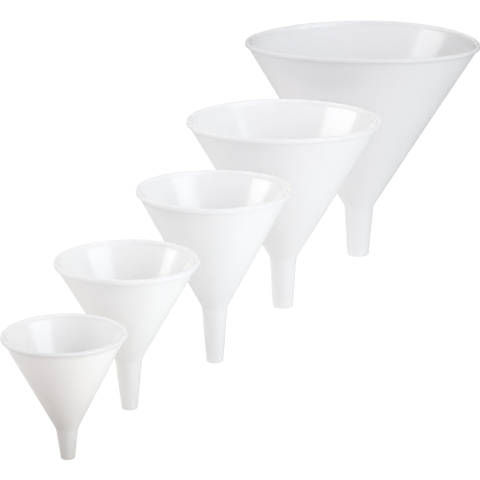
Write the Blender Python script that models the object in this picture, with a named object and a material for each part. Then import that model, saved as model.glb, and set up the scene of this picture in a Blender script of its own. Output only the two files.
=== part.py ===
"""A graduated set of five one-piece moulded plastic funnels, standing in a slanting row.

Each funnel is a single turned shape: a straight cone with a small rounded bead round its rim, an
open bore, and a slightly tapered spout cut square at the tip. Metres, +Z up. The floor is z = 0 and
every spout tip stands on it. The row runs mainly along Y, with the smallest funnel at the -X, -Y
end. The origin is the middle of the set's footprint.
"""

from collections import namedtuple
from math import atan2, cos, pi, radians, sin, sqrt, tan

import bmesh
import bpy
from mathutils import Vector

MM = 0.001  # the dimensions below are in millimetres

# The columns of the funnel table:
#   rim       outer diameter over the bead
#   height    from the spout's tip to the top of the rim
#   spout     length of the spout, tip to shoulder
#   root      outer diameter of the spout at the shoulder
#   tip       outer diameter of the spout at its tip
#   wall      thickness of the cone's wall, square to it
#   tip_wall  thickness of the spout's wall at the tip
#   bead      height of the rim bead
#   overhang  how far the bead stands out past the cone
#   fillet    radius of the outer blend between cone and spout
#   x, y      where the spout stands on the floor, from the largest funnel's axis
#   segments  steps round the turned shape
Funnel = namedtuple(
    "Funnel", "rim height spout root tip wall tip_wall bead overhang fillet x y segments"
)

# Smallest first, columns in the order above.
FUNNELS = {
    "extra_small_funnel": Funnel(
        60.0, 64.0, 15.6, 10.8, 6.8, 1.0, 0.95, 2.0, 1.1, 5.0, -163.5, -344.0, 48),
    "small_funnel": Funnel(
        74.0, 81.0, 27.7, 14.2, 8.3, 1.1, 1.05, 2.6, 1.2, 6.0, -137.5, -279.0, 56),
    "medium_funnel": Funnel(
        86.0, 100.0, 32.2, 14.2, 9.5, 1.2, 1.10, 2.9, 1.2, 7.0, -94.0, -208.0, 56),
    "large_funnel": Funnel(
        116.0, 117.5, 31.2, 16.1, 12.6, 1.3, 1.25, 2.8, 1.3, 8.0, -53.5, -110.5, 64),
    "extra_large_funnel": Funnel(
        152.0, 146.0, 34.2, 19.4, 14.3, 1.4, 1.35, 2.9, 1.4, 9.0, 0.0, 0.0, 72),
}

# The rim's rounded section, the same on every funnel.
BEAD_FOOT = [(0.25, 0.15), (0.0, 0.70)]  # (in from the rim radius, up from the bead's underside)
BEAD_CROWN = [(0.0, 0.80), (0.30, 0.22), (0.85, 0.0)]  # (in from the rim radius, down from the top)
MOUTH_LIP = [(0.95, 0.0), (0.55, 0.18), (0.30, 0.60)]  # (out from the mouth radius, down from top)

TIP_CHAMFER = 0.35  # broken outer edge of the spout's tip
INNER_FILLET_RATIO = 0.8  # inner blend radius as a share of the outer one
FILLET_STEPS = 4

MERGE_DISTANCE = 1e-6  # metres
SHARP_ANGLE = radians(35)  # edges that turn more than this are shaded sharp

# Milky polyethylene: near-white and satin.
PLASTIC_SETTINGS = {
    "Base Color": (0.90, 0.91, 0.92, 1.0),
    "Roughness": 0.38,
    "Metallic": 0.0,
    "IOR": 1.51,
    "Subsurface Weight": 0.35,  # share of the light scattered inside the wall
    "Subsurface Scale": 0.004,  # depth of that scattering, in metres
}


def blend(before, corner, after, radius):
    """Points of an arc that rounds the corner between two straight runs."""
    corner = Vector(corner)
    to_before = (Vector(before) - corner).normalized()
    to_after = (Vector(after) - corner).normalized()
    half_angle = to_before.angle(to_after) / 2
    reach = radius / tan(half_angle)  # from the corner to where the arc meets each run
    centre = corner + (to_before + to_after).normalized() * (radius / sin(half_angle))
    start = corner + to_before * reach
    end = corner + to_after * reach
    first = atan2(start.y - centre.y, start.x - centre.x)
    sweep = atan2(end.y - centre.y, end.x - centre.x) - first
    sweep = (sweep + pi) % (2 * pi) - pi  # take the short way round
    angles = [first + sweep * i / FILLET_STEPS for i in range(FILLET_STEPS + 1)]
    return [(centre.x + radius * cos(angle), centre.y + radius * sin(angle)) for angle in angles]


def wall_section(size):
    """The closed section of a funnel's wall as (radius, height) in millimetres.

    It runs from the tip up the outside and back down the inside.
    """
    rim, tip, root = size.rim / 2, size.tip / 2, size.root / 2
    top = size.height
    bead_z = top - size.bead  # the bead's underside
    neck = rim - size.overhang  # the cone's outer radius under the bead
    slope = (neck - root) / (bead_z - size.spout)  # radius gained per millimetre of height
    radial_wall = size.wall * sqrt(1 + slope * slope)  # the cone's wall measured across the axis
    mouth = neck - radial_wall  # the cone's inner radius level with the bead's underside
    bore = tip - size.tip_wall  # the inner radius at the tip

    # The inside shoulder, where the bore's taper meets the inside of the cone.
    taper = (root - tip) / size.spout
    shoulder_z = (root - slope * size.spout - radial_wall - bore) / (taper - slope)
    shoulder = (bore + taper * shoulder_z, shoulder_z)

    outer_fillet = blend((tip, TIP_CHAMFER), (root, size.spout), (neck, bead_z), size.fillet)
    inner_fillet = blend((mouth, bead_z), shoulder, (bore, 0.0), size.fillet * INNER_FILLET_RATIO)
    return [
        (tip - TIP_CHAMFER, 0.0),
        (tip, TIP_CHAMFER),
        *outer_fillet,
        (neck, bead_z),
        *[(rim - inset, bead_z + rise) for inset, rise in BEAD_FOOT],
        *[(rim - inset, top - drop) for inset, drop in BEAD_CROWN],
        *[(mouth + outset, top - drop) for outset, drop in MOUTH_LIP],
        (mouth, bead_z),
        *inner_fillet,
        (bore, 0.0),
    ]


def turned(name, section, segments):
    """A mesh made by spinning the closed section all the way round Z."""
    bm = bmesh.new()
    ring = [bm.verts.new((radius * MM, 0.0, z * MM)) for radius, z in section]
    edges = [bm.edges.new((ring[i], ring[(i + 1) % len(ring)])) for i in range(len(ring))]
    bmesh.ops.spin(
        bm,
        geom=ring + edges,
        cent=(0, 0, 0),
        axis=(0, 0, 1),
        angle=2 * pi,
        steps=segments,
        use_merge=True,
        use_duplicate=False,
    )
    bmesh.ops.remove_doubles(bm, verts=bm.verts, dist=MERGE_DISTANCE)
    bmesh.ops.recalc_face_normals(bm, faces=bm.faces)
    mesh = bpy.data.meshes.new(name)
    bm.to_mesh(mesh)
    bm.free()
    mesh.shade_smooth()
    mesh.set_sharp_from_angle(angle=SHARP_ANGLE)
    return mesh


def plastic(name):
    material = bpy.data.materials.new(name)
    material.use_nodes = True
    shader = material.node_tree.nodes["Principled BSDF"]
    for setting, value in PLASTIC_SETTINGS.items():
        shader.inputs[setting].default_value = value
    return material


def middle_of_span(places_and_rims):
    """The middle, along one axis, of circles given as (centre, diameter)."""
    low = min(place - rim / 2 for place, rim in places_and_rims)
    high = max(place + rim / 2 for place, rim in places_and_rims)
    return (low + high) / 2


def add_object(name, data, parent=None):
    """A new object in the scene; one without data is an empty."""
    thing = bpy.data.objects.new(name, data)
    bpy.context.scene.collection.objects.link(thing)
    thing.parent = parent
    return thing


def add_funnel(name, size, middle_x, middle_y, row):
    """One funnel, hung on its own empty, on the axis it lifts along."""
    axis = add_object(name + "_axis", None, row)
    axis.location = ((size.x - middle_x) * MM, (size.y - middle_y) * MM, 0.0)
    mesh = turned(name, wall_section(size), size.segments)
    mesh.materials.append(plastic(name + "_plastic"))
    add_object(name, mesh, axis)


def main():
    for thing in list(bpy.data.objects):
        bpy.data.objects.remove(thing)

    middle_x = middle_of_span([(size.x, size.rim) for size in FUNNELS.values()])
    middle_y = middle_of_span([(size.y, size.rim) for size in FUNNELS.values()])
    row = add_object("funnel_row", None)
    for name, size in FUNNELS.items():
        add_funnel(name, size, middle_x, middle_y, row)


main()
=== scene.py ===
"""A graduated set of five milky plastic funnels, each standing on its spout's tip with its mouth up.

Every funnel is a turned section: rim bead, cone, blended shoulder, spout and rounded tip, sprung
slightly out of round as thin moulded polyethylene is. Units are metres, +Z up, with the tips at
z = 0; each funnel is centred on its box in the frame. The camera looks along +Y.
"""

from math import atan2, cos, pi, radians, sin, sqrt, tan
from types import SimpleNamespace as Sizes

import bpy
import numpy as np
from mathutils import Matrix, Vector


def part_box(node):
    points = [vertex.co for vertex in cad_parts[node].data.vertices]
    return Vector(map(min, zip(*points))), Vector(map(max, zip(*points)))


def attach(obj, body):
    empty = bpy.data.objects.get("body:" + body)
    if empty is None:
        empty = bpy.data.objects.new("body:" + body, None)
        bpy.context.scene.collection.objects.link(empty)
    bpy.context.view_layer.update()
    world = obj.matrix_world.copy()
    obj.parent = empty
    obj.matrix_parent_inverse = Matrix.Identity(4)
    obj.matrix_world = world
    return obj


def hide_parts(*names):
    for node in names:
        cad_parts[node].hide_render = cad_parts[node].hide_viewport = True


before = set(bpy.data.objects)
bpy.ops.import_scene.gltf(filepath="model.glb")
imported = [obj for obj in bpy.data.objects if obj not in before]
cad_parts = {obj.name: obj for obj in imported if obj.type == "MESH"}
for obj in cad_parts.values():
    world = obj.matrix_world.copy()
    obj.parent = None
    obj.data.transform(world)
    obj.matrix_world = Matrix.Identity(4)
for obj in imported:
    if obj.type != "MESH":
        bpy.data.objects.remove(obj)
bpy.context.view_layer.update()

MM = 0.001

# ---------------------------------------------------------------- sizes, in millimetres
# The rim's diameter and height come from the frame's boxes.
#   spout: spout's height          root, tip: outside diameters at the spout's top and bottom
#   wall, tip_wall: thickness of the cone and of the spout's tip
#   bead, overhang: depth of the rim bead, and its reach beyond the neck under it
#   fillet: outer radius of the shoulder between spout and cone
#   spring_out, spring_flat: how far the rim springs out of round and out of flat
#   spring_axis: direction of the rim's long axis, in degrees from +X
#   seed: where the funnel's spring, grain, cloud and flow lines start
FUNNELS = {
    "extra_small": Sizes(
        spout=15.6, root=10.8, tip=6.8, wall=1.0, tip_wall=0.95, bead=2.0, overhang=1.1,
        fillet=5.0, spring_out=0.20, spring_flat=0.15, spring_axis=25.0, seed=3.1,
    ),
    "small": Sizes(
        spout=27.7, root=14.2, tip=8.3, wall=1.1, tip_wall=1.05, bead=2.6, overhang=1.2,
        fillet=6.0, spring_out=0.25, spring_flat=0.20, spring_axis=-20.0, seed=7.7,
    ),
    "medium": Sizes(
        spout=32.2, root=14.2, tip=9.5, wall=1.2, tip_wall=1.1, bead=2.9, overhang=1.2,
        fillet=7.0, spring_out=0.30, spring_flat=0.25, spring_axis=95.0, seed=12.4,
    ),
    "large": Sizes(
        spout=31.2, root=16.1, tip=12.6, wall=1.3, tip_wall=1.25, bead=2.8, overhang=1.3,
        fillet=8.0, spring_out=0.40, spring_flat=0.35, spring_axis=10.0, seed=18.9,
    ),
    "extra_large": Sizes(
        spout=34.2, root=19.4, tip=14.3, wall=1.4, tip_wall=1.35, bead=2.9, overhang=1.4,
        fillet=9.0, spring_out=0.60, spring_flat=1.05, spring_axis=-15.0, seed=25.2,
    ),
}

SECTION_STEP = 2.0  # longest cut along the section's straight runs, roughly
ROUND_STEP = 1.5  # length of a segment round the rim
MIN_SEGMENTS, MAX_SEGMENTS = 160, 320
BEAD_DRAWN = 2.9  # bead depth for which the bead's corner radii are given

# Corners of the section, in order: up the outside from the bore's mouth, and down the inside.
(BORE, TIP, SHOULDER, NECK, BEAD_FOOT, BEAD_TOP, LIP, MOUTH, INNER_SHOULDER) = range(9)


# ---------------------------------------------------------------- shape
def rounded(path, step):
    """Turn a closed path of (x, y, radius, arc steps) corners into (x, y, corner index) points.

    Each corner becomes an arc, and each straight run is cut to about the step.
    """
    arcs = []
    for i, (x, y, radius, steps) in enumerate(path):
        corner = Vector((x, y))
        following = path[(i + 1) % len(path)]
        back = Vector((path[i - 1][0] - x, path[i - 1][1] - y))
        ahead = Vector((following[0] - x, following[1] - y))
        half = back.angle(ahead) / 2
        reach = min(radius / tan(half), 0.49 * back.length, 0.49 * ahead.length)
        radius = reach * tan(half)
        back.normalize()
        ahead.normalize()
        centre = corner + (back + ahead).normalized() * (radius / sin(half))
        start = corner + back * reach
        end = corner + ahead * reach
        first = atan2(start.y - centre.y, start.x - centre.x)
        sweep = atan2(end.y - centre.y, end.x - centre.x) - first
        sweep = (sweep + pi) % (2 * pi) - pi
        for k in range(steps + 1):
            angle = first + sweep * k / steps
            arcs.append((centre.x + radius * cos(angle), centre.y + radius * sin(angle), i))

    points = []
    for i, (x, y, corner) in enumerate(arcs):
        next_x, next_y, next_corner = arcs[(i + 1) % len(arcs)]
        points.append((x, y, corner))
        if corner != next_corner:
            cuts = int(sqrt((next_x - x) ** 2 + (next_y - y) ** 2) / step)
            for k in range(1, cuts):
                share = k / cuts
                points.append((x + (next_x - x) * share, y + (next_y - y) * share, corner))
    return points


def section(sizes, rim, top):
    """The wall's section in millimetres, as (radius, height, corner index) points."""
    tip, root = sizes.tip / 2, sizes.root / 2
    neck = rim - sizes.overhang
    neck_height = top - sizes.bead
    slope = (neck - root) / (neck_height - sizes.spout)
    radial_wall = sizes.wall * sqrt(1 + slope * slope)
    mouth = neck - radial_wall

    # The inner shoulder is where the spout's bore meets the inside of the cone.
    bore = tip - sizes.tip_wall
    taper = (root - tip) / sizes.spout
    inner_height = (root - slope * sizes.spout - radial_wall - bore) / (taper - slope)
    inner_radius = bore + taper * inner_height

    scale = sizes.bead / BEAD_DRAWN
    return rounded(
        # radius, height, corner radius, arc steps; in the order of the corner names
        [
            (bore, 0.0, 0.30, 5),
            (tip, 0.0, 0.50, 7),
            (root, sizes.spout, sizes.fillet, 16),
            (neck, neck_height, 0.55 * scale, 5),
            (rim, neck_height + 0.10, 0.95 * scale, 8),
            (rim, top, 1.15 * scale, 10),
            (mouth + 0.75 * scale, top, 0.85 * scale, 9),
            (mouth, neck_height, 3.2 * scale, 9),
            (inner_radius, inner_height, sizes.fillet * 0.8, 14),
        ],
        SECTION_STEP,
    )


def up_cone(height, sizes, top):
    """Share of the way from the spout's top (0) to the rim (1)."""
    return np.clip((height - sizes.spout) / (top - sizes.spout), 0, 1)


def sprung(radius, height, around, sizes, top):
    """Spring of the moulding: nothing at the shoulder, most at the rim."""
    share = up_cone(height, sizes, top)
    share = share * share * (1.5 - 0.5 * share)
    two = np.cos(2 * (around - radians(sizes.spring_axis)))
    three = np.cos(3 * around + sizes.seed)
    five = np.cos(5 * around + 1.7 * sizes.seed)
    radius = radius + share * sizes.spring_out * (two + 0.10 * three + 0.05 * five)
    height = height - share * sizes.spring_flat * (two + 0.12 * three + 0.05 * five)
    return radius, height


def section_weights(corner, height, sizes, top):
    """Where the skins differ, point by point along the section."""
    bead_corners = (corner >= BEAD_FOOT) & (corner <= LIP)
    rim_corners = (corner >= BEAD_FOOT) & (corner <= MOUTH)
    spout_corners = (corner == TIP) | (corner == SHOULDER)

    def by_corner(weights):
        return np.select([corner == k for k in weights], list(weights.values()), 0.0)

    return {
        "inside": by_corner({INNER_SHOULDER: 1.0, MOUTH: 1.0, BORE: 0.5}),
        "lip": np.select([bead_corners, corner == NECK], [1.0, 0.6], 0.0),
        "rim": np.where(rim_corners & (height > top - 2.2 * sizes.bead), 1.0, 0.0),
        "bead": by_corner({BEAD_FOOT: 1.0, BEAD_TOP: 0.6, NECK: 0.5}),
        "tube": np.where((height < sizes.spout - 0.5) & spout_corners, 1.0, 0.0),
    }


def side_weights(around, height, sizes, top):
    """Masks for painted shade, by side; the wall itself has the same thickness all round.

    One is a band on +X, for painted shade inside; the other is the -X side, most of all low down,
    for painted shade outside.
    """
    band = np.clip((np.cos(around) - 0.55) / 0.35, 0, 1)
    side = np.clip((np.cos(around - radians(205)) + 0.1) / 0.9, 0, 1)
    low_down = 1 - 0.55 * up_cone(height, sizes, top)
    return {
        "inner_shade_band": band * band * (3 - 2 * band),
        "outer_painted_shade": side * side * (3 - 2 * side) * low_down,
    }


def funnel(size, sizes):
    """One funnel as a closed turned mesh, standing where the frame has it."""
    low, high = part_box(size + "_funnel")
    rim, top = (high.x - low.x) / 2 / MM, high.z / MM
    points = section(sizes, rim, top)
    count = len(points)
    segments = int(round(rim * 2 * pi / ROUND_STEP / 8) * 8)
    segments = max(MIN_SEGMENTS, min(MAX_SEGMENTS, segments))

    # Rows run round the funnel, columns along the section.
    flat_radius, flat_height, corner = (np.array(column) for column in zip(*points))
    around = (np.arange(segments) * 2 * pi / segments)[:, None]
    radius, height = sprung(flat_radius, flat_height, around, sizes, top)
    places = np.stack([radius * np.cos(around), radius * np.sin(around), height], -1) * MM

    # Faces are wound so that their normals point out of the wall.
    row, column = np.meshgrid(np.arange(segments), np.arange(count), indexing="ij")
    here, beside = row * count, (row + 1) % segments * count
    along = (column + 1) % count
    faces = np.stack([here + column, beside + column, beside + along, here + along], -1)

    mesh = bpy.data.meshes.new(size + "_funnel_moulding")
    mesh.from_pydata(places.reshape(-1, 3).tolist(), [], faces.reshape(-1, 4).tolist())
    mesh.update()
    weights = section_weights(corner, flat_height, sizes, top)
    weights.update(side_weights(around, height, sizes, top))
    for name, values in weights.items():
        attribute = mesh.attributes.new(name, "FLOAT", "POINT")
        values = np.broadcast_to(values, (segments, count)).astype(np.float32)
        attribute.data.foreach_set("value", values.reshape(-1))
    mesh.shade_smooth()

    piece = bpy.data.objects.new(size + "_funnel_moulding", mesh)
    bpy.context.scene.collection.objects.link(piece)
    piece.location = ((low.x + high.x) / 2, (low.y + high.y) / 2, 0.0)
    return piece


# ---------------------------------------------------------------- shader graphs
class Graph:
    """The node tree of a material or world, emptied and ready to be built."""

    def __init__(self, owner):
        owner.use_nodes = True
        self.tree = owner.node_tree
        self.tree.nodes.clear()

    def feed(self, socket, value):
        """Link the input to an output socket, or set it to a plain value."""
        if isinstance(value, bpy.types.NodeSocket):
            self.tree.links.new(value, socket)
        else:
            socket.default_value = value

    def node(self, kind, *inputs, **named):
        """A new node: inputs by position, and inputs (with _ for a space) or settings by name."""
        made = self.tree.nodes.new("ShaderNode" + kind)
        for key, value in named.items():
            label = key.replace("_", " ")
            if label in made.inputs:
                self.feed(made.inputs[label], value)
            else:
                setattr(made, key, value)
        for i, value in enumerate(inputs):
            self.feed(made.inputs[i], value)
        return made

    def math(self, operation, *inputs):
        return self.node("Math", *inputs, operation=operation).outputs[0]

    def vector(self, operation, *inputs):
        return self.node("VectorMath", *inputs, operation=operation).outputs["Vector"]

    def dot(self, first, second, **named):
        made = self.node("VectorMath", first, second, operation="DOT_PRODUCT", **named)
        return made.outputs["Value"]

    def scale(self, vector, factor):
        made = self.node("VectorMath", vector, operation="SCALE", Scale=factor)
        return made.outputs["Vector"]

    def total(self, colours):
        result = colours[0]
        for colour in colours[1:]:
            result = self.vector("ADD", result, colour)
        return result

    def remap(self, value, **limits):
        return self.node("MapRange", Value=value, **limits).outputs["Result"]

    def noise(self, place, **settings):
        return self.node("TexNoise", Vector=place, **settings).outputs["Fac"]

    def bump(self, **settings):
        return self.node("Bump", **settings).outputs["Normal"]

    def output_by_ray(self, kind, lit, seen):
        """Camera rays get the seen shader, all other rays the lit one."""
        camera_ray = self.node("LightPath").outputs["Is Camera Ray"]
        choice = self.node("MixShader", camera_ray, lit, seen)
        self.node(kind, Surface=choice.outputs[0])


# ---------------------------------------------------------------- plastic
# Colour and tone of each funnel. Tones multiply the tint, and each one is painted shade:
#   inner: painted shade inside, above 1 painted light    bead: painted shade on the bead's outer face
#   rim_edge, inner_edge: painted shade on the rim and the inside, seen edge-on
#   uneven, heavy: painted shade taken off the inside on +X and the outside on -X, low down
LOOKS = {
    "extra_small": dict(
        tint=(0.935, 0.931, 0.927), inner=0.965, bead=0.86, rim_edge=1.0, inner_edge=1.0,
        inner_shade_depth=0.0, outer_painted_shade=0.10,
    ),
    "small": dict(
        tint=(0.952, 0.953, 0.940), inner=0.985, bead=0.985, rim_edge=1.0, inner_edge=0.95,
        inner_shade_depth=0.0, outer_painted_shade=0.0,
    ),
    "medium": dict(
        tint=(0.955, 0.957, 0.962), inner=1.0, bead=1.0, rim_edge=1.0, inner_edge=1.0,
        inner_shade_depth=0.0, outer_painted_shade=0.0,
    ),
    "large": dict(
        tint=(0.953, 0.955, 0.959), inner=0.99, bead=1.0, rim_edge=0.95, inner_edge=0.93,
        inner_shade_depth=0.02, outer_painted_shade=0.0,
    ),
    # Painted shade: the extra large funnel's tint is darker than the others'.
    "extra_large": dict(
        tint=(0.870, 0.871, 0.876), inner=1.005, bead=0.955, rim_edge=0.74, inner_edge=0.92,
        inner_shade_depth=0.125, outer_painted_shade=0.0,
    ),
}
# Painted shade: how dark the outside is made where it is seen edge-on.
OUTER_EDGE = 0.84  # tone of the outside seen edge-on
CLOUD_SHARE = 0.5  # weight of cloud against flow lines in the colour
CLOUD_TINT = (0.985, 0.987, 0.990)  # darkest the cloud makes the tint
LIP_ROUGHNESS = 0.34
ROUGHNESS_RIPPLE = 0.04  # how much the roughness wanders
FLOW_RISE = 6.0  # change of the flow lines with height: low, so that they run up the cone


def flow_lines(graph, position, seed):
    """Streaks along the cone's generators, the way the melt runs from the spout to the rim."""
    flat = graph.vector("MULTIPLY", position, (1.0, 1.0, 0.0))
    spoke = graph.vector("NORMALIZE", flat)
    rise = graph.vector("MULTIPLY", position, (0.0, 0.0, FLOW_RISE))
    way = graph.vector("ADD", spoke, rise)
    start = graph.vector("ADD", way, (seed, seed * 0.7, 0.0))
    return graph.noise(start, Scale=9.0, Detail=4.0, Roughness=0.55)


def turning_rings(graph, position):
    """Turning marks of the mould: noise that changes with height alone."""
    height = graph.node("SeparateXYZ", Vector=position).outputs["Z"]
    rings_at = graph.node("CombineXYZ", Z=height).outputs["Vector"]
    return graph.noise(rings_at, Scale=900.0, Detail=2.0, Roughness=0.6)


def plastic_tone(graph, marks, inner, bead, rim_edge, inner_edge, inner_shade_depth, outer_painted_shade):
    """Painted shade over the whole funnel, as a brightness that multiplies the tint."""
    # Painted shade at the edges: the tint is darkened where a wall is seen edge-on.
    facing = graph.node("LayerWeight", Blend=0.5).outputs["Facing"]
    sharpness = graph.remap(marks["tube"], To_Min=4.0, To_Max=2.0)
    grazing = graph.math("POWER", facing, sharpness)
    walls = graph.remap(marks["inside"], To_Min=OUTER_EDGE, To_Max=inner_edge)
    depth = graph.remap(marks["rim"], To_Min=walls, To_Max=rim_edge)
    edge = graph.remap(grazing, To_Min=1.0, To_Max=depth)

    # Painted shade: the inside toned per funnel and darker in the band on +X, the outside darker on
    # -X.
    inner_tone = graph.math("MULTIPLY_ADD", marks["inner_shade_band"], -inner_shade_depth, inner)
    outer_tone = graph.math("MULTIPLY_ADD", marks["outer_painted_shade"], -outer_painted_shade, 1.0)
    side_shade = graph.remap(marks["inside"], To_Min=outer_tone, To_Max=inner_tone)

    # Painted shade on the bead's outer face.
    bead_shade = graph.remap(marks["bead"], To_Min=1.0, To_Max=bead)
    return graph.math("MULTIPLY", graph.math("MULTIPLY", edge, side_shade), bead_shade)


def plastic_roughness(graph, marks, ripple):
    """Inside smoother than outside, the lip between them, all broken up slightly."""
    walls = graph.remap(marks["inside"], To_Min=0.44, To_Max=0.085)
    satin = graph.node("Mix", data_type="FLOAT", Factor=marks["lip"], A=walls, B=LIP_ROUGHNESS)
    return graph.math("MULTIPLY_ADD", ripple, ROUGHNESS_RIPPLE, satin.outputs["Result"])


def plastic(size, seed, tint, **tones):
    """Milky polyethylene: light goes into the wall and scatters, under a satin skin."""
    material = bpy.data.materials.new(size + "_milky_plastic")
    graph = Graph(material)
    position = graph.node("TexCoord").outputs["Object"]
    shift = (seed * 0.031, seed * -0.017, seed * 0.023)
    shifted = graph.node("Mapping", Vector=position, Location=shift).outputs["Vector"]
    marks = {
        name: graph.node("Attribute", attribute_name=name).outputs["Fac"]
        for name in ("inside", "lip", "tube", "rim", "bead", "inner_shade_band", "outer_painted_shade")
    }
    cloud = graph.noise(shifted, Scale=26.0, Detail=3.0, Roughness=0.5)
    flow = flow_lines(graph, position, seed)
    grain = graph.noise(shifted, Scale=1500.0, Detail=3.0, Roughness=0.6)
    ripple = graph.noise(shifted, Scale=95.0, Detail=2.0, Roughness=0.5)
    rings = turning_rings(graph, position)

    # The tint, moved a little by cloud and flow.
    cloudiness = graph.math("MULTIPLY_ADD", cloud, CLOUD_SHARE, flow)
    clouded = graph.node(
        "Mix",
        data_type="RGBA",
        Factor=graph.remap(cloudiness, From_Min=0.45, From_Max=1.05),
        A=(*(part * dim for part, dim in zip(tint, CLOUD_TINT)), 1),
        B=(*tint, 1),
    )
    tone = plastic_tone(graph, marks, **tones)

    # Bump in three sizes: flow lines, turning rings, mould grain.
    normal = graph.bump(Height=flow, Strength=0.10, Distance=0.00012)
    normal = graph.bump(Height=rings, Strength=0.05, Distance=0.0001, Normal=normal)
    normal = graph.bump(Height=grain, Strength=0.10, Distance=0.00004, Normal=normal)

    body = graph.node(
        "BsdfPrincipled",
        Base_Color=graph.scale(clouded.outputs["Result"], tone),
        Roughness=plastic_roughness(graph, marks, ripple),
        Normal=normal,
        IOR=1.51,
        Subsurface_Weight=1.0,
        Subsurface_Radius=(1.0, 1.0, 1.05),
        Subsurface_Scale=0.0016,
        subsurface_method="RANDOM_WALK",
    )
    graph.node("OutputMaterial", Surface=body.outputs["BSDF"])
    return material


# ---------------------------------------------------------------- floor and light
# Azimuths are in degrees: 0 is the camera's side (-Y), 90 is +X.
# The room as the funnels see it: an even grey surround and four broad, soft, brighter regions.
SURROUND = (0.33, 0.32, 0.32)
ROOM_FALLOFF = 5.0  # power of the cosine by which each region fades
# name, azimuth, elevation, colour
ROOM = [
    ("front", 0, 8, (0.61, 0.56, 0.66)),
    ("front_right", 45, 8, (1.13, 1.22, 1.17)),
    ("left", -90, 8, (0.87, 0.85, 0.82)),
    ("high_back", 180, 45, (0.77, 0.72, 0.74)),
]
# Light that comes up from the table: x, y, reach, colour. The last two patches take light away.
TABLE = [
    (0.040, -0.220, 0.110, (0.64, 0.71, 0.73)),
    (0.120, -0.060, 0.120, (0.35, 0.34, 0.34)),
    (0.200, 0.150, 0.140, (0.18, 0.20, 0.19)),
    (-0.060, 0.160, 0.140, (0.50, 0.465, 0.47)),
    (-0.080, -0.290, 0.090, (0.53, 0.49, 0.43)),
    (-0.200, -0.140, 0.090, (0.72, 0.71, 0.68)),
    (-0.105, -0.195, 0.080, (-0.27, -0.31, -0.325)),
    (-0.110, -0.240, 0.050, (-0.45, -0.45, -0.45)),
]
TABLE_ALBEDO = (0.6, 0.6, 0.6)
TABLE_DULLING = (1.2, 1.2, 1.2)  # how strongly a negative total darkens the albedo
WHITE = (1, 1, 1, 1)

FLOOR_HALF = 30.0
FLOOR_DROP = 0.0002  # keeps the floor just under the tips

SOFTBOX_AIM = Vector((0.0, 0.0, 0.08))
SOFTBOX_DISTANCE = 1.5
SOFTBOX_WIDTH, SOFTBOX_HEIGHT = 1.09, 0.64


def direction(azimuth, elevation):
    """Unit vector towards an azimuth and elevation in degrees."""
    around, up = radians(azimuth), radians(elevation)
    return Vector((sin(around) * cos(up), -cos(around) * cos(up), sin(up)))


def floor_material():
    """The camera sees it nearly white; the funnels see the light that a lit table sends up."""
    material = bpy.data.materials.new("pale_floor")
    graph = Graph(material)
    position = graph.node("NewGeometry").outputs["Position"]
    patches = []
    for x, y, reach, colour in TABLE:
        away = graph.vector("SUBTRACT", position, (x, y, 0.0))
        fall = graph.math("MULTIPLY", graph.dot(away, away), -1 / reach**2)
        patches.append(graph.scale(colour, graph.math("EXPONENT", fall)))
    total = graph.total(patches)

    # Above zero the total is light sent up; below zero it darkens the table.
    bright = graph.vector("MAXIMUM", total)
    dull = graph.vector("MINIMUM", total)
    albedo = graph.vector("MULTIPLY_ADD", dull, TABLE_DULLING, TABLE_ALBEDO)
    matt = graph.node("BsdfDiffuse", Color=albedo)
    sent_up = graph.node("Emission", Strength=1.0, Color=bright)
    table = graph.node("AddShader", matt.outputs[0], sent_up.outputs[0])

    faint = graph.node("BsdfDiffuse", Color=(0.05, 0.05, 0.05, 1))
    glow = graph.node("Emission", Color=WHITE, Strength=0.985)
    seen = graph.node("AddShader", faint.outputs[0], glow.outputs[0])
    graph.output_by_ray("OutputMaterial", table.outputs[0], seen.outputs[0])
    return material


def floor():
    """A plain pale square under the whole set."""
    half = FLOOR_HALF
    corners = [(-half, -half, 0), (half, -half, 0), (half, half, 0), (-half, half, 0)]
    mesh = bpy.data.meshes.new("floor")
    mesh.from_pydata(corners, [], [(0, 1, 2, 3)])
    ground = bpy.data.objects.new("floor", mesh)
    bpy.context.scene.collection.objects.link(ground)
    ground.location.z = -FLOOR_DROP
    mesh.materials.append(floor_material())


def sky():
    """White behind the set, and the dimmer, uneven room for the light that falls on it."""
    world = bpy.data.worlds.new("studio")
    bpy.context.scene.world = world
    graph = Graph(world)
    position = graph.node("TexCoord").outputs["Generated"]
    colours = [graph.node("CombineXYZ", *SURROUND).outputs["Vector"]]
    for name, azimuth, elevation, colour in ROOM:
        towards = graph.dot(position, direction(azimuth, elevation), name=name)
        front = graph.math("MAXIMUM", towards, 0.0)
        lobe = graph.math("POWER", front, ROOM_FALLOFF)
        colours.append(graph.scale(colour, lobe))
    room = graph.node("Background", Strength=1.0, Color=graph.total(colours))
    white = graph.node("Background", Color=WHITE, Strength=1.0)
    graph.output_by_ray("OutputWorld", room.outputs[0], white.outputs[0])


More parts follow.
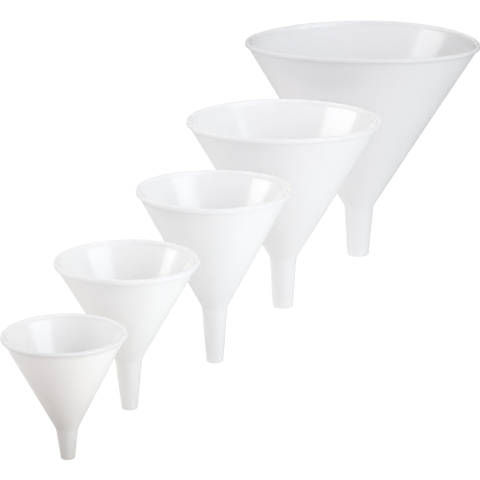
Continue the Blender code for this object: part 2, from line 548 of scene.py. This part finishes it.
def softbox(name, azimuth, elevation, radiance, colour):
    """A soft rectangular light aimed at the set. Radiance is what its face shows."""
    way = direction(azimuth, elevation)
    light = bpy.data.lights.new(name, "AREA")
    light.shape = "RECTANGLE"
    light.size, light.size_y = SOFTBOX_WIDTH, SOFTBOX_HEIGHT
    light.energy = radiance * pi * SOFTBOX_WIDTH * SOFTBOX_HEIGHT
    light.color = colour
    lamp = bpy.data.objects.new(name, light)
    bpy.context.scene.collection.objects.link(lamp)
    lamp.location = SOFTBOX_AIM + way * SOFTBOX_DISTANCE
    lamp.rotation_euler = (-way).to_track_quat("-Z", "Y").to_euler()
    lamp.visible_camera = False


# ---------------------------------------------------------------- camera
CAMERA_LEFT, CAMERA_FRONT = 0.07987, 1.12186  # from the extra large funnel's axis, to -X and -Y
CAMERA_HEIGHT = 0.33686
CAMERA_DOWN = 16.252  # degrees below the horizontal


def camera():
    """Long lens above the rims, looking slightly down on the set from the front."""
    low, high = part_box("extra_large_funnel")
    data = bpy.data.cameras.new("camera")
    data.lens = 129.75
    data.sensor_width = 36.0
    data.clip_start = 0.05
    data.clip_end = 80.0
    viewer = bpy.data.objects.new("camera", data)
    bpy.context.scene.collection.objects.link(viewer)
    viewer.location = (
        (low.x + high.x) / 2 - CAMERA_LEFT,
        (low.y + high.y) / 2 - CAMERA_FRONT,
        CAMERA_HEIGHT,
    )
    viewer.rotation_euler = (radians(90 - CAMERA_DOWN), 0.0, 0.0)
    bpy.context.scene.camera = viewer


# ---------------------------------------------------------------- build
for size, sizes in FUNNELS.items():
    piece = funnel(size, sizes)
    piece.data.materials.append(plastic(size, sizes.seed, **LOOKS[size]))
    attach(piece, size)
    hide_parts(size + "_funnel")

floor()
sky()
softbox("softbox_right", azimuth=52, elevation=30, radiance=2.17, colour=(0.876, 0.930, 1.0))
softbox("softbox_left", azimuth=-94, elevation=34, radiance=2.59, colour=(0.961, 1.0, 0.980))
camera()
bpy.context.scene.view_settings.view_transform = "Standard"
bpy.context.scene.view_settings.look = "None"
